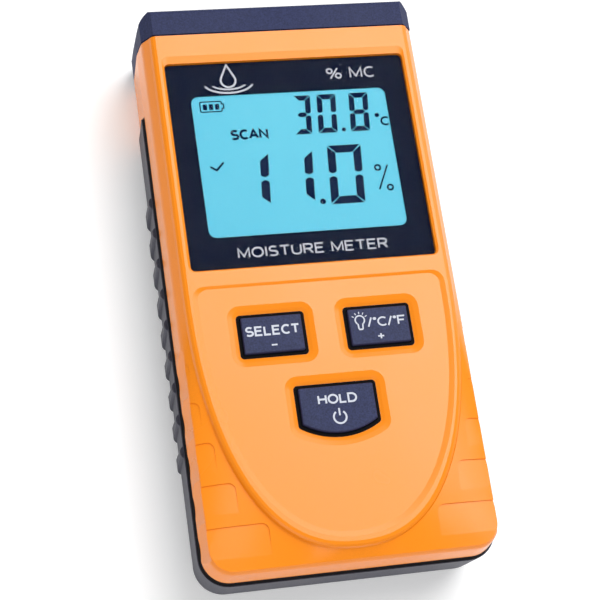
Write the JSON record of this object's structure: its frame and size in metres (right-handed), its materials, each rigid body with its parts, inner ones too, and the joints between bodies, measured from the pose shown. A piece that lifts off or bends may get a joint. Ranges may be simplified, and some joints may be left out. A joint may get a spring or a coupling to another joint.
{
  "type": "moisture meter",
  "caption": "Handheld pinless moisture meter with a backlit display, press keys, finger scallops and grip ribs, and a flat sensing face on the back of its head.",
  "frame": {"origin": "centre of the outline at the flat back face, which is also the sensing plane", "axes": "+Z out of the display, +Y towards the sensor head, +X to the right of the display"},
  "size_m": [0.0746, 0.146, 0.031],
  "materials": {
    "orange_shell": "satin moulded",
    "slate_cap": "fine texture",
    "rear_shell": "fine texture",
    "black_rubber": "matt",
    "clear_lens": "polished",
    "mask_print": "screen print",
    "lcd_glass": "polished",
    "black_plastic": "moulded",
    "light_guide": "frosted",
    "led_body": "clear",
    "zebra_rubber": "banded",
    "circuit_board": "solder mask",
    "chip_body": "moulded",
    "capacitor_can": "plain",
    "component_body": "moulded",
    "switch_body": "pressed",
    "key_plastic": "fine texture",
    "sensor_face": "smooth",
    "copper_foil": "bright",
    "ferrite": "sintered",
    "ribbon_cable": "ribbed",
    "battery_can": "plain wrap",
    "terminal_metal": "plated",
    "lead_insulation": "smooth",
    "foam": "open cell",
    "blank_label": "plain film",
    "screw_steel": "zinc plated"
  },
  "bodies": {
    "case": {"front_housing": "orange_shell", "sensor_head": "slate_cap", "rear_cover": "rear_shell", "seam_gasket": "black_rubber", "display_window": "clear_lens", "window_mask": "mask_print", "lcd_panel": "lcd_glass", "lcd_frame": "black_plastic", "backlight_panel": "light_guide", "backlight_leds": "led_body", "zebra_connectors": "zebra_rubber", "main_board": "circuit_board", "controller_chip": "chip_body", "capacitors": "capacitor_can", "board_components": "component_body", "buzzer": "black_plastic", "thermistor": "component_body", "tact_switches": "switch_body", "keypad_membrane": "black_rubber", "sensor_cover": "sensor_face", "sensor_electrodes": "copper_foil", "sensor_board": "circuit_board", "sensor_coil": "ferrite", "sensor_cable": "ribbon_cable", "battery": "battery_can", "battery_terminals": "terminal_metal", "battery_snap": "black_plastic", "battery_leads": "lead_insulation", "rating_label": "blank_label", "case_screws": "screw_steel", "board_screws": "screw_steel", "head_screws": "screw_steel"},
    "select_key": {"key_select": "key_plastic"},
    "light_key": {"key_light": "key_plastic"},
    "hold_key": {"key_hold": "key_plastic"},
    "door": {"battery_door": "rear_shell", "battery_pad": "foam"}
  },
  "joints": [
    {"name": "select_press", "type": "slide", "parent": "case", "child": "select_key", "axis": [0, 0, -1], "range_m": [0, 0.0008], "stiffness_N_per_m": 1500},
    {"name": "light_press", "type": "slide", "parent": "case", "child": "light_key", "axis": [0, 0, -1], "range_m": [0, 0.0008], "stiffness_N_per_m": 1500},
    {"name": "hold_press", "type": "slide", "parent": "case", "child": "hold_key", "axis": [0, 0, -1], "range_m": [0, 0.0008], "stiffness_N_per_m": 1500},
    {"name": "door_hinge", "type": "hinge", "parent": "case", "child": "door", "pos_m": [0, -0.00958, 0.001], "axis": [1, 0, 0], "range_deg": [0, 75]}
  ]
}
